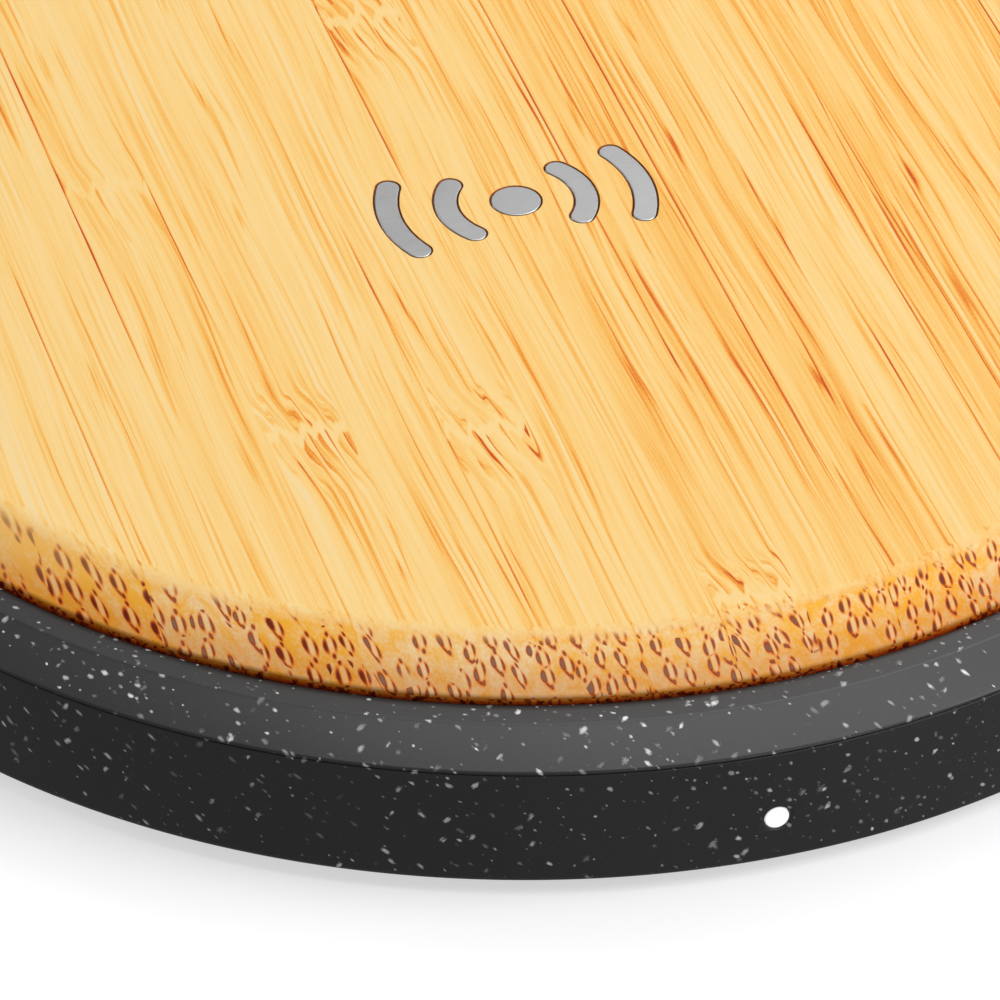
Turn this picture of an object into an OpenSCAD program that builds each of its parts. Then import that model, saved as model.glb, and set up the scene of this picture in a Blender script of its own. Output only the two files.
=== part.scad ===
// Round wireless charging pad with a bamboo top.
// Millimetres. The origin is the centre of the footprint, on the surface the pad stands on.
// +Z is up, -Y is the front with the status light, +Y is the back with the power inlet.

/* [Pad] */
// Outer diameter of the shell
pad_d = 100; // [99:0.5:106]
// Overall height, from the foot ring to the charging surface
pad_h = 12; // [12:0.1:13]
// Height of the shell's lower edge above the surface
foot_proud = 0.8; // [0.6:0.1:0.8]

/* [Bamboo top] */
// Diameter of the bamboo disc
bamboo_d = 90.9; // [90:0.1:91]
// Thickness of the bamboo disc
bamboo_t = 3.4; // [3.2:0.1:3.6]
// Height that the bamboo stands above the shell's ring
bamboo_proud = 2.16; // [1.8:0.01:2.2]
// Slope of the bamboo's bevelled edge, in degrees
bevel_angle = 26; // [24:1:27]
// Width of the bevelled edge
bevel_w = 3.45; // [3:0.05:3.5]
// Radius at the foot of the bevel
bevel_foot_r = 0.25; // [0.2:0.05:0.8]
// Radius of the soft crease between the bevel and the flat top
bevel_crease_r = 5; // [2:0.5:6]
// Gap between the bamboo and the shell's ring
reveal_gap = 0.1; // [0.1:0.05:0.3]

/* [Inlay] */
// Centre radius of the outer pair of arcs
mark_outer_r = 7.7; // [6.5:0.1:8.5]
// Centre radius of the inner pair of arcs
mark_inner_r = 4.2; // [3.6:0.1:4.6]
// Radius of the central dot
mark_dot_r = 1.5; // [1:0.1:2]
// Width of the arcs
mark_stroke = 1.4; // [1:0.1:1.6]
// Depth of the pockets for the inlay
mark_depth = 1; // [0.6:0.1:1.5]

/* [Shell] */
// Width of the sloping shoulder
shoulder_w = 2.7; // [2.2:0.1:2.8]
// Drop of the sloping shoulder
shoulder_drop = 1.27; // [0.9:0.01:1.4]
// Radius of the edge between the shoulder and the wall
shoulder_r = 0.2; // [0.15:0.05:0.5]
// Width of the fine shadow line under the shoulder's edge
shadow_w = 0.1; // [0.1:0.05:0.2]
// Depth of the shadow line
shadow_depth = 0.08; // [0.04:0.02:0.12]
// Radius of the wall's lower edge
lower_r = 0.5; // [0.3:0.05:0.6]
// Thickness of the side wall
wall_t = 2.4; // [2:0.1:2.6]
// Thickness of the deck under the bamboo
deck_t = 1; // [0.8:0.1:1]

/* [Base] */
// Thickness of the base cover
base_t = 1.2; // [1.2:0.1:1.3]
// Inner radius of the foot ring
foot_in_r = 36; // [35.5:0.5:36]
// Width of the foot ring
foot_w = 6; // [6:0.5:7]
// Radius of the circle of base screws
screw_circle_r = 39; // [38.5:0.1:39.3]

/* [Coil] */
// Diameter of the litz wire
wire_d = 1.1; // [0.9:0.05:1.1]
// Distance from turn to turn
wire_pitch = 1.13; // [1.12:0.01:1.15]
// Number of turns
coil_turns = 10; // [8:1:10]
// Inner diameter of the winding
coil_id = 20.5; // [19:0.5:20.5]

/* [Light and inlet] */
// Diameter of the status light
light_d = 1.4; // [1:0.1:1.6]
// Height of the status light above the surface
light_z = 3.85; // [3.6:0.05:3.9]
// Width of the inlet's metal shell
usb_w = 8.94; // [8.9:0.01:9]
// Height of the inlet's metal shell
usb_h = 3.26; // [3.2:0.01:3.3]

/* [Hidden] */
$fn = 96;
eps = 0.02;

// Shell heights and radii
pad_r = pad_d / 2;
ring_z = pad_h - bamboo_proud;
corner_z = ring_z - shoulder_drop;
shoulder_angle = atan(shoulder_drop / shoulder_w);
shoulder_tangent = shoulder_r * tan(45 - shoulder_angle / 2);
crest_r = 0.9;
crest_tangent = crest_r * tan(shoulder_angle / 2);
crest_x = pad_r - shoulder_w;
film_t = 0.15;
bamboo_r = bamboo_d / 2;
bamboo_z = pad_h - bamboo_t;
recess_r = bamboo_r + reveal_gap;
deck_top_z = bamboo_z - film_t;
deck_z = deck_top_z - deck_t;
window_r = 26.5;
wall_in_r = pad_r - wall_t;
lip_t = 1.6;
lip_r = pad_r - lip_t;

// Base cover and foot ring
base_z = foot_proud;
base_top_z = base_z + base_t;
base_gap = 0.2;
base_r = lip_r - base_gap;
groove_depth = 0.4;
groove_z = base_z + groove_depth;
foot_film_t = 0.1;
foot_top_z = groove_z - foot_film_t;
foot_edge_r = 0.3;
foot_gap = 0.1;
dish_r = 30;
dish_depth = 0.2;

// Base screws and their bosses
screw_angles = [45, 135, 225, 315];
screw_head_r = 1.9;
screw_head_t = 1.35;
screw_r = 0.95;
screw_len = 4;
head_well_r = 2.1;
head_well_z = base_top_z + 0.7;
cover_boss_r = 3.3;
cover_boss_z = head_well_z + 0.8;
shell_boss_r = 2.4;
shell_boss_z = cover_boss_z + 0.05;
boss_hole_r = 1;

// Coil stack, from the bamboo down
coil_z = bamboo_z - film_t - wire_d / 2;
ferrite_t = 0.9;
ferrite_top_z = coil_z - wire_d / 2;
ferrite_z = ferrite_top_z - ferrite_t;
ferrite_r = 25;
carrier_floor_t = 0.8;
carrier_z = ferrite_z - carrier_floor_t;
carrier_r = 26.2;
carrier_rim_t = 0.8;
flange_r = 31;
flange_t = 0.8;
stake_circle_r = 28.7;
stake_angles = [30, 150, 270];
stake_r = 0.9;
stake_head_r = 1.6;
stake_head_t = 0.7;
coil_r0 = coil_id / 2 + wire_d / 2;
lead_x = 1.9;
lead_hole_r = 0.75;
lead_bend_r = 0.9;
inner_lead_y = -(coil_r0 - wire_pitch / 4);
outer_lead_y = -(coil_r0 + (coil_turns * 2 - 1) * wire_pitch / 2 + wire_pitch / 4);
sensor_hole_r = 1.5;

// Board
board_gap = 0.5;
board_t = 0.8;
board_z = base_top_z + board_gap;
board_top_z = board_z + board_t;
board_w = 35;
board_r = 45.8;
board_cut_y = 45;
board_holes = [[-14, 34], [14, 34], [12, -36]];
board_hole_r = 1;
board_boss_r = 2;
board_screw_r = 0.75;
board_pilot_r = 0.8;
board_pilot_z = groove_z + 0.1;

// Inlet
usb_z = board_top_z + usb_h / 2;
usb_len = 7.35;
usb_face_y = pad_r - 0.7;
usb_back_y = usb_face_y - usb_len;
usb_wall = 0.3;
usb_in_w = usb_w - 2 * usb_wall;
usb_in_h = usb_h - 2 * usb_wall;
usb_slot_gap = 0.2;
usb_step_w = 0.35;
usb_step_depth = 0.3;
tongue_w = 6.69;
tongue_t = 0.7;
tongue_back_len = 1.6;
tongue_set_back = 0.8;
contact_count = 12;
contact_pitch = 0.5;
contact_w = 0.26;
contact_t = 0.06;
contact_len = 3.2;

// Light
light_hole_gap = 0.05;
light_flange_r = light_d / 2 + 0.6;
light_flange_t = 0.6;
light_set_back = 0.03;
led_size = [1.6, 0.8, 0.8];
led_y = -board_r + 0.5;
light_inner_y = -board_r - 0.15;

// Slot outline with round ends, centred.
module stadium(w, h) {
    square([w - h, h], center = true);
    for (side = [-1, 1]) translate([side * (w - h) / 2, 0]) circle(d = h);
}

// A stadium outline that stands in the XZ plane, extruded from y0 to y1.
module stadium_bar(w, h, y0, y1, z) {
    translate([0, y1, z]) rotate([90, 0, 0]) linear_extrude(y1 - y0) stadium(w, h);
}

// Flat ring or disc.
module ring(r_out, r_in, z0, z1) {
    translate([0, 0, z0]) difference() {
        cylinder(r = r_out, h = z1 - z0);
        if (r_in > 0) translate([0, 0, -eps]) cylinder(r = r_in, h = z1 - z0 + 2 * eps);
    }
}

// Children copied to each angle on a circle.
module around(angles, r) {
    for (a = angles) rotate([0, 0, a]) translate([r, 0, 0]) children();
}

// Rectangular chip that stands on the board.
module chip(x, y, size, turn = 0) {
    translate([x, y, board_top_z]) rotate([0, 0, turn])
        translate([-size[0] / 2, -size[1] / 2, 0]) cube(size);
}

// One arc of the mark, with round ends, centred on +X or -X.
module mark_arc(r, half_angle, stroke, side, h) {
    rotate([0, 0, side < 0 ? 180 : 0]) {
        rotate([0, 0, -half_angle]) rotate_extrude(angle = 2 * half_angle)
            translate([r - stroke / 2, 0]) square([stroke, h]);
        for (a = [-half_angle, half_angle]) rotate([0, 0, a])
            translate([r, 0, 0]) cylinder(d = stroke, h = h);
    }
}

// The whole symbol: a dot between two pairs of arcs. grow widens every stroke, for the pockets.
module mark_symbol(grow, h) {
    cylinder(r = mark_dot_r + grow, h = h);
    for (side = [-1, 1]) {
        mark_arc(mark_inner_r, 38, mark_stroke + 2 * grow, side, h);
        mark_arc(mark_outer_r, 26, mark_stroke + 2 * grow, side, h);
    }
}

// Points of an arc about a centre, from angle a0 to a1.
function arc_points(centre, r, a0, a1, steps) =
    [for (i = [0:steps]) let (a = a0 + (a1 - a0) * i / steps) centre + r * [cos(a), sin(a)]];

// Half of the disc's section: a bevel with a rounded foot and a soft crease at the flat top.
module bamboo_section() {
    foot_chamfer = 0.2;
    foot_centre = [
        bamboo_r - bevel_foot_r,
        pad_h - bevel_w * tan(bevel_angle) - bevel_foot_r * tan(45 - bevel_angle / 2)
    ];
    crease_centre = [bamboo_r - bevel_w - bevel_crease_r * tan(bevel_angle / 2), pad_h - bevel_crease_r];
    polygon(concat(
        [[0, bamboo_z], [bamboo_r - foot_chamfer, bamboo_z], [bamboo_r, bamboo_z + foot_chamfer]],
        arc_points(foot_centre, bevel_foot_r, 0, 90 - bevel_angle, 12),
        arc_points(crease_centre, bevel_crease_r, 90 - bevel_angle, 90, 6),
        [[0, pad_h]]
    ));
}

module bamboo_top() {
    pocket_gap = 0.08;
    color([0.93, 0.78, 0.5]) difference() {
        rotate_extrude() bamboo_section();
        translate([0, 0, pad_h - mark_depth]) mark_symbol(pocket_gap, mark_depth + 1);
    }
}

module inlay_mark() {
    set_back = 0.05;
    color([0.7, 0.7, 0.72])
        translate([0, 0, pad_h - mark_depth]) mark_symbol(0, mark_depth - set_back);
}

module top_adhesive() {
    color([0.92, 0.9, 0.85]) ring(bamboo_r - 0.65, window_r + 0.5, deck_top_z, bamboo_z);
}

// Half of the shell's outline: lip, wall, shoulder, ring, recess and deck.
module shell_outline() {
    slope = [cos(shoulder_angle), -sin(shoulder_angle)];
    polygon([
        [lip_r, base_z],
        [pad_r - lower_r, base_z],
        [pad_r, base_z + lower_r],
        [pad_r, corner_z - shoulder_tangent],
        [pad_r, corner_z] - shoulder_tangent * slope,
        [crest_x, ring_z] + crest_tangent * slope,
        [crest_x - crest_tangent, ring_z],
        [recess_r, ring_z],
        [recess_r, deck_top_z],
        [window_r, deck_top_z],
        [window_r, deck_z],
        [wall_in_r, deck_z],
        [wall_in_r, base_top_z],
        [lip_r, base_top_z]
    ]);
    translate([pad_r - lower_r, base_z + lower_r]) circle(r = lower_r);
    translate([pad_r - shoulder_r, corner_z - shoulder_tangent]) circle(r = shoulder_r);
    translate([crest_x - crest_tangent, ring_z - crest_r]) circle(r = crest_r);
}

// Half of the shell's section, with the shadow line under the shoulder's rounded edge.
module shell_section() {
    shadow_top_z = corner_z - shoulder_tangent;
    difference() {
        shell_outline();
        translate([pad_r - shadow_depth, shadow_top_z - shadow_w]) square([1, shadow_w]);
    }
}

module outer_shell() {
    boss_h = deck_z - shell_boss_z + deck_t / 2;
    stake_z = deck_z - flange_t - stake_head_t;
    slot_w = usb_w + 2 * usb_slot_gap;
    slot_h = usb_h + 2 * usb_slot_gap;
    color([0.27, 0.27, 0.28]) difference() {
        union() {
            rotate_extrude() shell_section();
            around(screw_angles, screw_circle_r)
                translate([0, 0, shell_boss_z]) cylinder(r = shell_boss_r, h = boss_h);
            around(stake_angles, stake_circle_r) translate([0, 0, stake_z]) {
                cylinder(r = stake_r, h = deck_z - stake_z + deck_t / 2);
                cylinder(r = stake_head_r, h = stake_head_t);
            }
        }
        around(screw_angles, screw_circle_r)
            translate([0, 0, shell_boss_z - 1]) cylinder(r = boss_hole_r, h = screw_len + 1);
        stadium_bar(slot_w, slot_h, pad_r - wall_t - 1, pad_r + 1, usb_z);
        stadium_bar(
            slot_w + 2 * usb_step_w, slot_h + 2 * usb_step_w, pad_r - usb_step_depth, pad_r + 1, usb_z
        );
        translate([0, -pad_r + wall_t + 1, light_z]) rotate([90, 0, 0])
            cylinder(r = light_d / 2 + light_hole_gap, h = wall_t + 2);
    }
}

module light_pipe() {
    flange_y = -wall_in_r + light_flange_t + 0.1;
    color([0.95, 0.95, 0.95]) {
        translate([0, light_inner_y, light_z]) rotate([90, 0, 0])
            cylinder(r = light_d / 2, h = pad_r - light_set_back + light_inner_y);
        translate([0, flange_y, light_z]) rotate([90, 0, 0])
            cylinder(r = light_flange_r, h = light_flange_t);
    }
}

module base_cover() {
    color([0.16, 0.16, 0.17]) difference() {
        union() {
            ring(base_r, 0, base_z, base_top_z);
            around(screw_angles, screw_circle_r) ring(cover_boss_r, 0, base_top_z - 0.2, cover_boss_z);
            for (p = board_holes) translate([p[0], p[1], 0])
                ring(board_boss_r, 0, base_top_z - 0.2, board_z);
        }
        ring(foot_in_r + foot_w + foot_gap, foot_in_r - foot_gap, base_z - 1, groove_z);
        ring(dish_r, 0, base_z - 1, base_z + dish_depth);
        around(screw_angles, screw_circle_r) {
            translate([0, 0, base_z - 1]) cylinder(r = head_well_r, h = head_well_z - base_z + 1);
            cylinder(r = boss_hole_r + 0.15, h = cover_boss_z + 1);
        }
        for (p = board_holes) translate([p[0], p[1], 0])
            ring(board_pilot_r, 0, board_pilot_z, board_z + 1);
    }
}

module foot_ring() {
    foot_out_r = foot_in_r + foot_w;
    color([0.13, 0.13, 0.14]) rotate_extrude() {
        translate([foot_in_r, foot_edge_r]) square([foot_w, foot_top_z - foot_edge_r]);
        translate([foot_in_r + foot_edge_r, 0]) square([foot_w - 2 * foot_edge_r, foot_top_z]);
        for (x = [foot_in_r + foot_edge_r, foot_out_r - foot_edge_r])
            translate([x, foot_edge_r]) circle(r = foot_edge_r);
    }
}

module foot_adhesive() {
    color([0.9, 0.88, 0.8]) difference() {
        ring(foot_in_r + foot_w - 0.2, foot_in_r + 0.2, foot_top_z, groove_z);
        around(screw_angles, screw_circle_r) cylinder(r = head_well_r, h = groove_z + 1);
    }
}

// Pan-head screw that points up, with a cross recess in its head. The head's seat is at z.
module screw(z, r, len, head_r, head_t) {
    recess_w = head_r * 0.3;
    recess_l = head_r * 1.2;
    recess_t = head_t * 0.5;
    translate([0, 0, z]) difference() {
        union() {
            translate([0, 0, -head_t]) cylinder(r = head_r, h = head_t);
            cylinder(r = r, h = len);
        }
        for (a = [0, 90]) rotate([0, 0, a])
            translate([-recess_l / 2, -recess_w / 2, -head_t - 1])
                cube([recess_l, recess_w, recess_t + 1]);
    }
}

module base_screws() {
    color([0.75, 0.75, 0.77]) around(screw_angles, screw_circle_r)
        screw(head_well_z, screw_r, screw_len, screw_head_r, screw_head_t);
}

// Ten turns from half circles about two centres, a quarter of the pitch to either side.
module coil_winding() {
    color([0.78, 0.42, 0.2]) translate([0, 0, coil_z]) rotate([0, 0, -90])
        for (k = [0:coil_turns * 2 - 1])
            translate([(k % 2 == 0 ? -1 : 1) * wire_pitch / 4, 0, 0]) rotate([0, 0, (k % 2) * 180])
                rotate_extrude(angle = 180)
                    translate([coil_r0 + k * wire_pitch / 2, 0]) circle(d = wire_d, $fn = 32);
}

// One end of the coil: a short run along X, a bend, and a drop to its pad on the board.
module coil_lead(y, side) {
    drop_top = coil_z - lead_bend_r;
    pad_t = 0.25;
    run = lead_x - lead_bend_r;
    translate([0, y, coil_z]) rotate([0, side * 90, 0]) cylinder(d = wire_d, h = run);
    translate([side * run, y, drop_top]) rotate([90, 0, 0]) rotate([0, 0, side > 0 ? 0 : 90])
        rotate_extrude(angle = 90) translate([lead_bend_r, 0]) circle(d = wire_d, $fn = 32);
    translate([side * lead_x, y, board_top_z]) cylinder(d = wire_d, h = drop_top - board_top_z);
    translate([side * lead_x, y, board_top_z]) cylinder(r = wire_d, h = pad_t);
}

module coil_leads() {
    color([0.8, 0.45, 0.22]) {
        coil_lead(inner_lead_y, -1);
        coil_lead(outer_lead_y, 1);
    }
}

module coil_adhesive() {
    color([0.95, 0.93, 0.85]) ring(22.5, 0, bamboo_z - film_t, bamboo_z);
}

// Holes for the coil's two ends and the sensor's wires.
module lead_holes(z0, z1) {
    translate([-lead_x, inner_lead_y, z0]) cylinder(r = lead_hole_r, h = z1 - z0);
    translate([lead_x, outer_lead_y, z0]) cylinder(r = lead_hole_r, h = z1 - z0);
    translate([0, 0, z0]) cylinder(r = sensor_hole_r, h = z1 - z0);
}

module ferrite_shield() {
    color([0.3, 0.3, 0.32]) difference() {
        ring(ferrite_r, 0, ferrite_z, ferrite_top_z);
        lead_holes(ferrite_z - 1, ferrite_top_z + 1);
    }
}

module coil_carrier() {
    rim_in_r = carrier_r - carrier_rim_t;
    flange_z = deck_z - flange_t;
    color([0.2, 0.2, 0.22]) difference() {
        rotate_extrude() polygon([
            [0, carrier_z], [carrier_r, carrier_z], [carrier_r, flange_z], [flange_r, flange_z],
            [flange_r, deck_z], [rim_in_r, deck_z], [rim_in_r, ferrite_z], [0, ferrite_z]
        ]);
        lead_holes(carrier_z - 1, ferrite_z + 1);
        around(stake_angles, stake_circle_r) ring(stake_r + 0.1, 0, flange_z - 1, deck_z + 1);
    }
}

module thermistor() {
    bead_h = 0.9;
    wire_r = 0.2;
    color([0.15, 0.25, 0.2]) {
        translate([0, 0, ferrite_top_z + 0.05]) cylinder(r = 1.2, h = bead_h);
        for (side = [-1, 1]) translate([side * 0.6, 0, board_top_z])
            cylinder(r = wire_r, h = ferrite_top_z + 0.1 - board_top_z);
    }
}

module main_board() {
    color([0.05, 0.3, 0.18]) difference() {
        intersection() {
            ring(board_r, 0, board_z, board_top_z);
            translate([-board_w / 2, -board_r, board_z - 1]) cube([board_w, board_r + board_cut_y, 3]);
        }
        for (p = board_holes) translate([p[0], p[1], board_z - 1]) cylinder(r = board_hole_r, h = 3);
    }
}

module board_screws() {
    head_t = 0.7;
    shank = board_top_z - board_pilot_z - 0.2;
    color([0.75, 0.75, 0.77]) for (p = board_holes) translate([p[0], p[1], 0])
        mirror([0, 0, 1]) screw(-board_top_z, board_screw_r, shank, 1.5, head_t);
}

module thermal_pad() {
    color([0.55, 0.6, 0.7]) translate([-11, -14, base_top_z]) cube([22, 12, board_gap]);
}

module controller_ic() {
    color([0.12, 0.12, 0.13]) chip(0, 9, [7, 7, 0.9]);
}

module supply_ic() {
    color([0.12, 0.12, 0.13]) chip(0, 30, [4, 4, 0.85]);
}

module bridge_mosfets() {
    color([0.14, 0.14, 0.15]) for (x = [-9, 9], y = [-9, -4]) chip(x, y, [3.3, 3.3, 1]);
}

module resonant_capacitors() {
    color([0.72, 0.6, 0.42]) for (x = [-12, -7, 7, 12]) chip(x, -17, [2.5, 3.2, 1.9]);
}

module filter_inductor() {
    color([0.35, 0.35, 0.37]) chip(9, 24, [5, 5, 2.1]);
}

module bulk_capacitors() {
    color([0.7, 0.58, 0.4]) for (y = [20, 24, 28]) chip(-9, y, [3.2, 2.5, 2]);
}

module chip_passives() {
    passive = [1, 0.5, 0.45];
    color([0.6, 0.55, 0.48]) {
        for (y = [4:1.5:14], x = [-6, 6]) chip(x, y, passive);
        for (x = [-6:1.5:6]) chip(x, 16, passive, 90);
        for (x = [-4.5:1.5:4.5]) chip(x, 34.5, passive, 90);
        for (x = [-3, 3]) chip(x, -41, passive, 90);
    }
}

module crystal() {
    color([0.8, 0.8, 0.82]) chip(-11, 9, [3.2, 2.5, 0.8]);
}

module status_led() {
    color([0.95, 0.93, 0.8]) chip(0, led_y, led_size);
}

module usb_shell() {
    color([0.8, 0.8, 0.82]) difference() {
        stadium_bar(usb_w, usb_h, usb_back_y, usb_face_y, usb_z);
        stadium_bar(usb_in_w, usb_in_h, usb_back_y + usb_wall, usb_face_y + 1, usb_z);
    }
}

module usb_tongue() {
    block_y = usb_back_y + usb_wall;
    block_end_y = block_y + tongue_back_len;
    color([0.08, 0.08, 0.09]) {
        stadium_bar(usb_in_w, usb_in_h, block_y, block_end_y, usb_z);
        translate([-tongue_w / 2, block_y, usb_z - tongue_t / 2])
            cube([tongue_w, usb_face_y - tongue_set_back - block_y, tongue_t]);
    }
}

module usb_contacts() {
    front_y = usb_face_y - tongue_set_back - 0.4;
    color([0.85, 0.68, 0.3]) for (i = [0:contact_count - 1], side = [-1, 1])
        translate([
            (i - (contact_count - 1) / 2) * contact_pitch - contact_w / 2,
            front_y - contact_len,
            usb_z + (side > 0 ? tongue_t / 2 : -tongue_t / 2 - contact_t)
        ]) cube([contact_w, contact_len, contact_t]);
}

bamboo_top();
inlay_mark();
top_adhesive();
outer_shell();
light_pipe();
base_cover();
foot_ring();
foot_adhesive();
base_screws();
coil_winding();
coil_leads();
coil_adhesive();
ferrite_shield();
coil_carrier();
thermistor();
main_board();
board_screws();
thermal_pad();
controller_ic();
supply_ic();
bridge_mosfets();
resonant_capacitors();
filter_inductor();
bulk_capacitors();
chip_passives();
crystal();
status_led();
usb_shell();
usb_tongue();
usb_contacts();
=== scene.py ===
"""Round wireless charging pad with a bamboo top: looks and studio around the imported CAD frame."""

import math

import bmesh
import bpy
from mathutils import Matrix, Vector


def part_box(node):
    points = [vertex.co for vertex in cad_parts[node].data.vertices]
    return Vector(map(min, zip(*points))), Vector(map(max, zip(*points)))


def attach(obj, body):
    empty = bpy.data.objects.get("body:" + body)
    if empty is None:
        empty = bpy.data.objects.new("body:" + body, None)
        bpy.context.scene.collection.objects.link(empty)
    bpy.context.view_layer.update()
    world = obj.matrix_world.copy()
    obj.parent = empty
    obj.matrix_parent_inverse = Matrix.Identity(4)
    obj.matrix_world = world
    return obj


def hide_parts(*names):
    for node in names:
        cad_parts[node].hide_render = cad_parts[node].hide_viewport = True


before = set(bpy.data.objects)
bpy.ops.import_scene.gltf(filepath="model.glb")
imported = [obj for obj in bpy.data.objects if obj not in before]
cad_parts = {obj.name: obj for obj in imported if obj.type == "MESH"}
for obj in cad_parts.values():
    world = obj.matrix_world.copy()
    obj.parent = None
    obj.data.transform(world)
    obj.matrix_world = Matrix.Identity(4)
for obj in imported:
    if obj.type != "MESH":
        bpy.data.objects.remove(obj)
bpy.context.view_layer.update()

MM = 0.001
BODY = "root"

# Sizes read from the CAD nodes, in metres.
PAD_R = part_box("outer_shell")[1].x
SHELL_FOOT_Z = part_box("outer_shell")[0].z
RING_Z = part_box("outer_shell")[1].z
BAMBOO_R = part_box("bamboo_top")[1].x
BAMBOO_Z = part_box("bamboo_top")[0].z
TOP_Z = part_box("bamboo_top")[1].z

# Shape of the bamboo's bevelled edge.
BEVEL_ANGLE = math.radians(26)
BEVEL_W = 3.45 * MM
BEVEL_FOOT_R = 0.25 * MM
BEVEL_CREASE_R = 3.5 * MM
BEVEL_CROWN = math.radians(6)

# Shape of the shell's section.
SHOULDER_W = 2.7 * MM
SHOULDER_DROP = 1.27 * MM
SHOULDER_R = 0.2 * MM
SHOULDER_CROWN = math.radians(6)
SHADOW_W = 0.1 * MM
SHADOW_DEPTH = 0.08 * MM
CREST_R = 0.6 * MM
LOWER_R = 0.5 * MM
REVEAL_GAP = 0.1 * MM
DECK_T = 1.0 * MM
FILM_T = 0.15 * MM
WINDOW_R = 26.5 * MM
WALL_IN_R = PAD_R - 2.4 * MM
LIP_R = PAD_R - 1.6 * MM
LEDGE_Z = SHELL_FOOT_Z + 1.2 * MM
# Rings in the wall, in mm above the light's centre: they keep the faces short round its hole.
WALL_RINGS = (-1.6, -1.1, -0.85, 0.85, 1.1, 1.6, 2.4)

# The mark: a dot between two pairs of arcs, (radius, half angle) of each arc's centre line.
MARK_ARCS = ((4.2 * MM, math.radians(38)), (7.7 * MM, math.radians(26)))
MARK_STROKE = 1.4 * MM
MARK_DOT_R = 1.5 * MM
MARK_DEPTH = 1.0 * MM
MARK_BEVEL = 0.07 * MM
POCKET_GAP = 0.05 * MM
POCKET_FLARE = 0.05 * MM

ROUND_STEPS = 512
SHARP_ANGLE = 30.0

# Light on a level surface, where 1 would show a pure white as pure white.
LEVEL_LIGHT = 1.05
LEVEL_GLOSS = 0.006

# In mm from here on. Bamboo: laminated strips, with their tone from pale (0) to orange (1), left to right.
STRIP_W = 4.93
STRIP_EDGE = -0.9
STRIP_TONES = (
    0.42, 0.36, 0.46, 0.24, 0.34, 0.42, 0.40, 0.38, 0.44, 0.42,
    0.48, 0.55, 0.61, 0.44, 0.62, 0.54, 0.58, 0.48, 0.42, 0.44,
)
# How dark each strip's end grain is, from straw (0) to scorched orange (1). Each strip has its own tone,
# and the first four strips, at -X, are set deeper as painted shade.
STRIP_END_TONES_AND_SHADE = (
    0.8, 0.9, 1.0, 0.9, 0.5, 0.8, 0.50, 0.35, 0.55, 0.50,
    0.60, 0.7, 0.75, 0.6, 0.55, 0.5, 0.7, 0.6, 0.8, 0.7,
)
# Knuckles of the bamboo: strip centre x, y, and how strongly the fibres swerve.
KNUCKLES = (
    (-18.2, -19.0, 1.0),
    (-8.3, -21.5, 1.0),
    (-3.4, 21.5, 0.8),
    (1.6, -40.5, 1.0),
    (-23.1, 8.0, 0.4),
    (26.2, 27.0, 0.9),
    (31.1, -9.0, 0.5),
    (-37.9, 14.0, 0.8),
)
# The spacing of the vessel bundles, the upright stretch below the bevel, and where the bevel begins to cut.
BUNDLE_PITCH_X = 1.18
BUNDLE_PITCH_Z = 0.73
FOOT_WALL = 0.43
CUT_START = (BAMBOO_R - BEVEL_W) / MM - 0.8
# A bundle's dark caps: centre across and up, half width and half height.
CAP_LEFT = (-0.32, 0.0, 0.12, 0.21)
CAP_RIGHT = (0.29, 0.0, 0.09, 0.19)
CAP_ABOVE = (-0.02, 0.34, 0.10, 0.075)
CAP_BELOW = (0.03, -0.35, 0.11, 0.08)
CAP_HOOK = (-0.16, -0.28, 0.055, 0.21)
HOOK_TURN = math.radians(57.5)
CAP_BEND = 1.4


# ---------------------------------------------------------------- shader graphs


def linear(value):
    """One sRGB channel, 0 to 255, as linear light."""
    c = value / 255
    return c / 12.92 if c <= 0.04045 else ((c + 0.055) / 1.055) ** 2.4


def srgb(r, g, b):
    return (linear(r), linear(g), linear(b), 1.0)


def lit(r, g, b):
    """The colour that looks like this sRGB colour on a level, faintly glossy surface in the studio."""
    return tuple(max(linear(v) - LEVEL_GLOSS, 0.0) / LEVEL_LIGHT for v in (r, g, b)) + (1.0,)


class Signal:
    """A shader socket that takes part in plain arithmetic."""

    def __init__(self, graph, socket):
        self.graph = graph
        self.socket = socket

    def __add__(self, other):
        return self.graph.math("ADD", self, other)

    def __radd__(self, other):
        return self.graph.math("ADD", other, self)

    def __sub__(self, other):
        return self.graph.math("SUBTRACT", self, other)

    def __rsub__(self, other):
        return self.graph.math("SUBTRACT", other, self)

    def __mul__(self, other):
        return self.graph.math("MULTIPLY", self, other)

    def __rmul__(self, other):
        return self.graph.math("MULTIPLY", other, self)

    def __truediv__(self, other):
        return self.graph.math("DIVIDE", self, other)


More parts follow.
